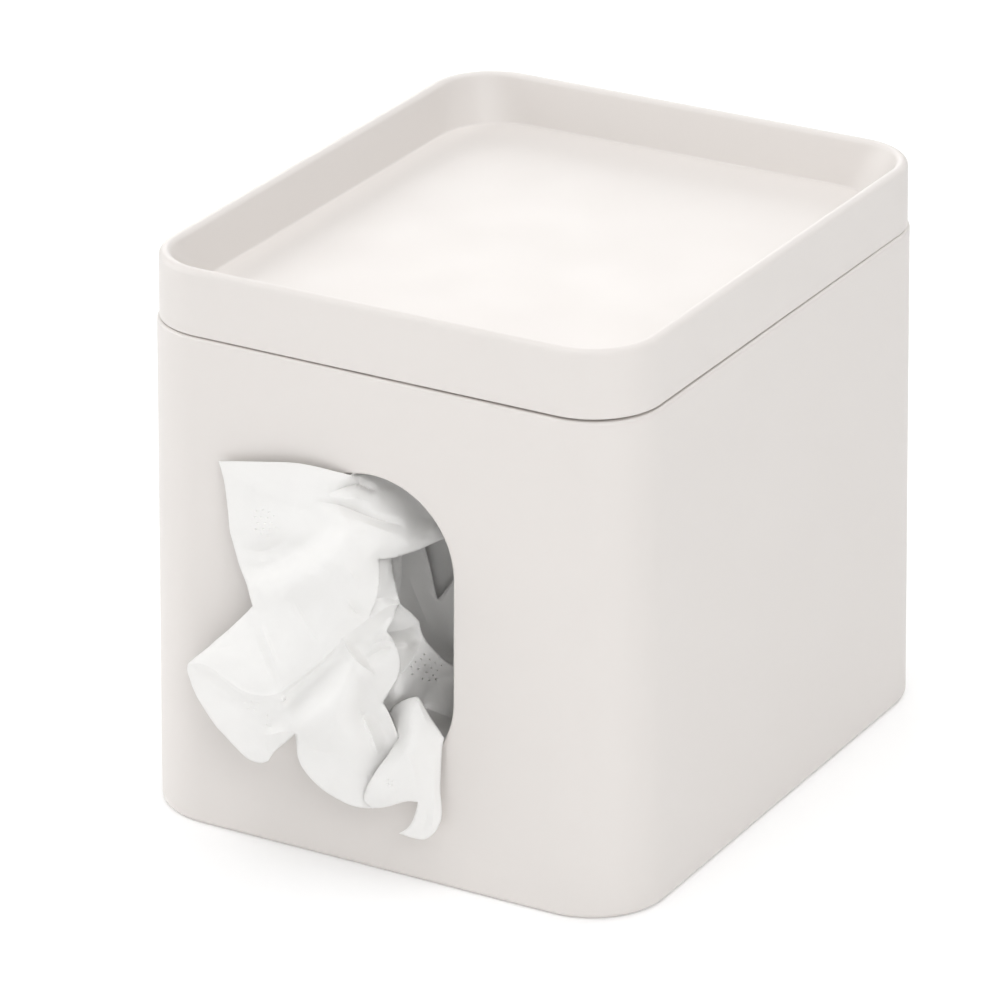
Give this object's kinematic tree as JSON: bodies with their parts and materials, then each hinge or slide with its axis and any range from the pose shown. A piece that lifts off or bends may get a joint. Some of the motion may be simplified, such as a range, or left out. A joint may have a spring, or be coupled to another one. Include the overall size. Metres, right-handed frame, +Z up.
{
  "type": "tissue box",
  "caption": "Upright tissue box with a tall round-ended opening in its front, a lift-off lid shaped as a shallow tray, a pack of tissues inside and one tissue pulled out.",
  "frame": {"origin": "centre of the base, on the surface the box stands on", "axes": "+Z up, -Y out of the front opening, +X to the right as the front is seen"},
  "size_m": [0.1336, 0.1751, 0.1395],
  "materials": {
    "shell_plastic": "satin moulded, warm white",
    "lid_plastic": "satin moulded, warm white",
    "tissue_paper": "soft matte, edges of folded sheets",
    "loose_tissue": "soft matte, thin, a little translucent"
  },
  "bodies": {
    "box": {"box_shell": "shell_plastic", "tissue_pack": "tissue_paper", "pulled_tissue": "loose_tissue"},
    "lid": {"tray_lid": "lid_plastic"}
  },
  "joints": [
    {"name": "lid_lift", "type": "slide", "parent": "box", "child": "lid", "axis": [0, 0, 1], "range_m": [0, 0.08]}
  ]
}
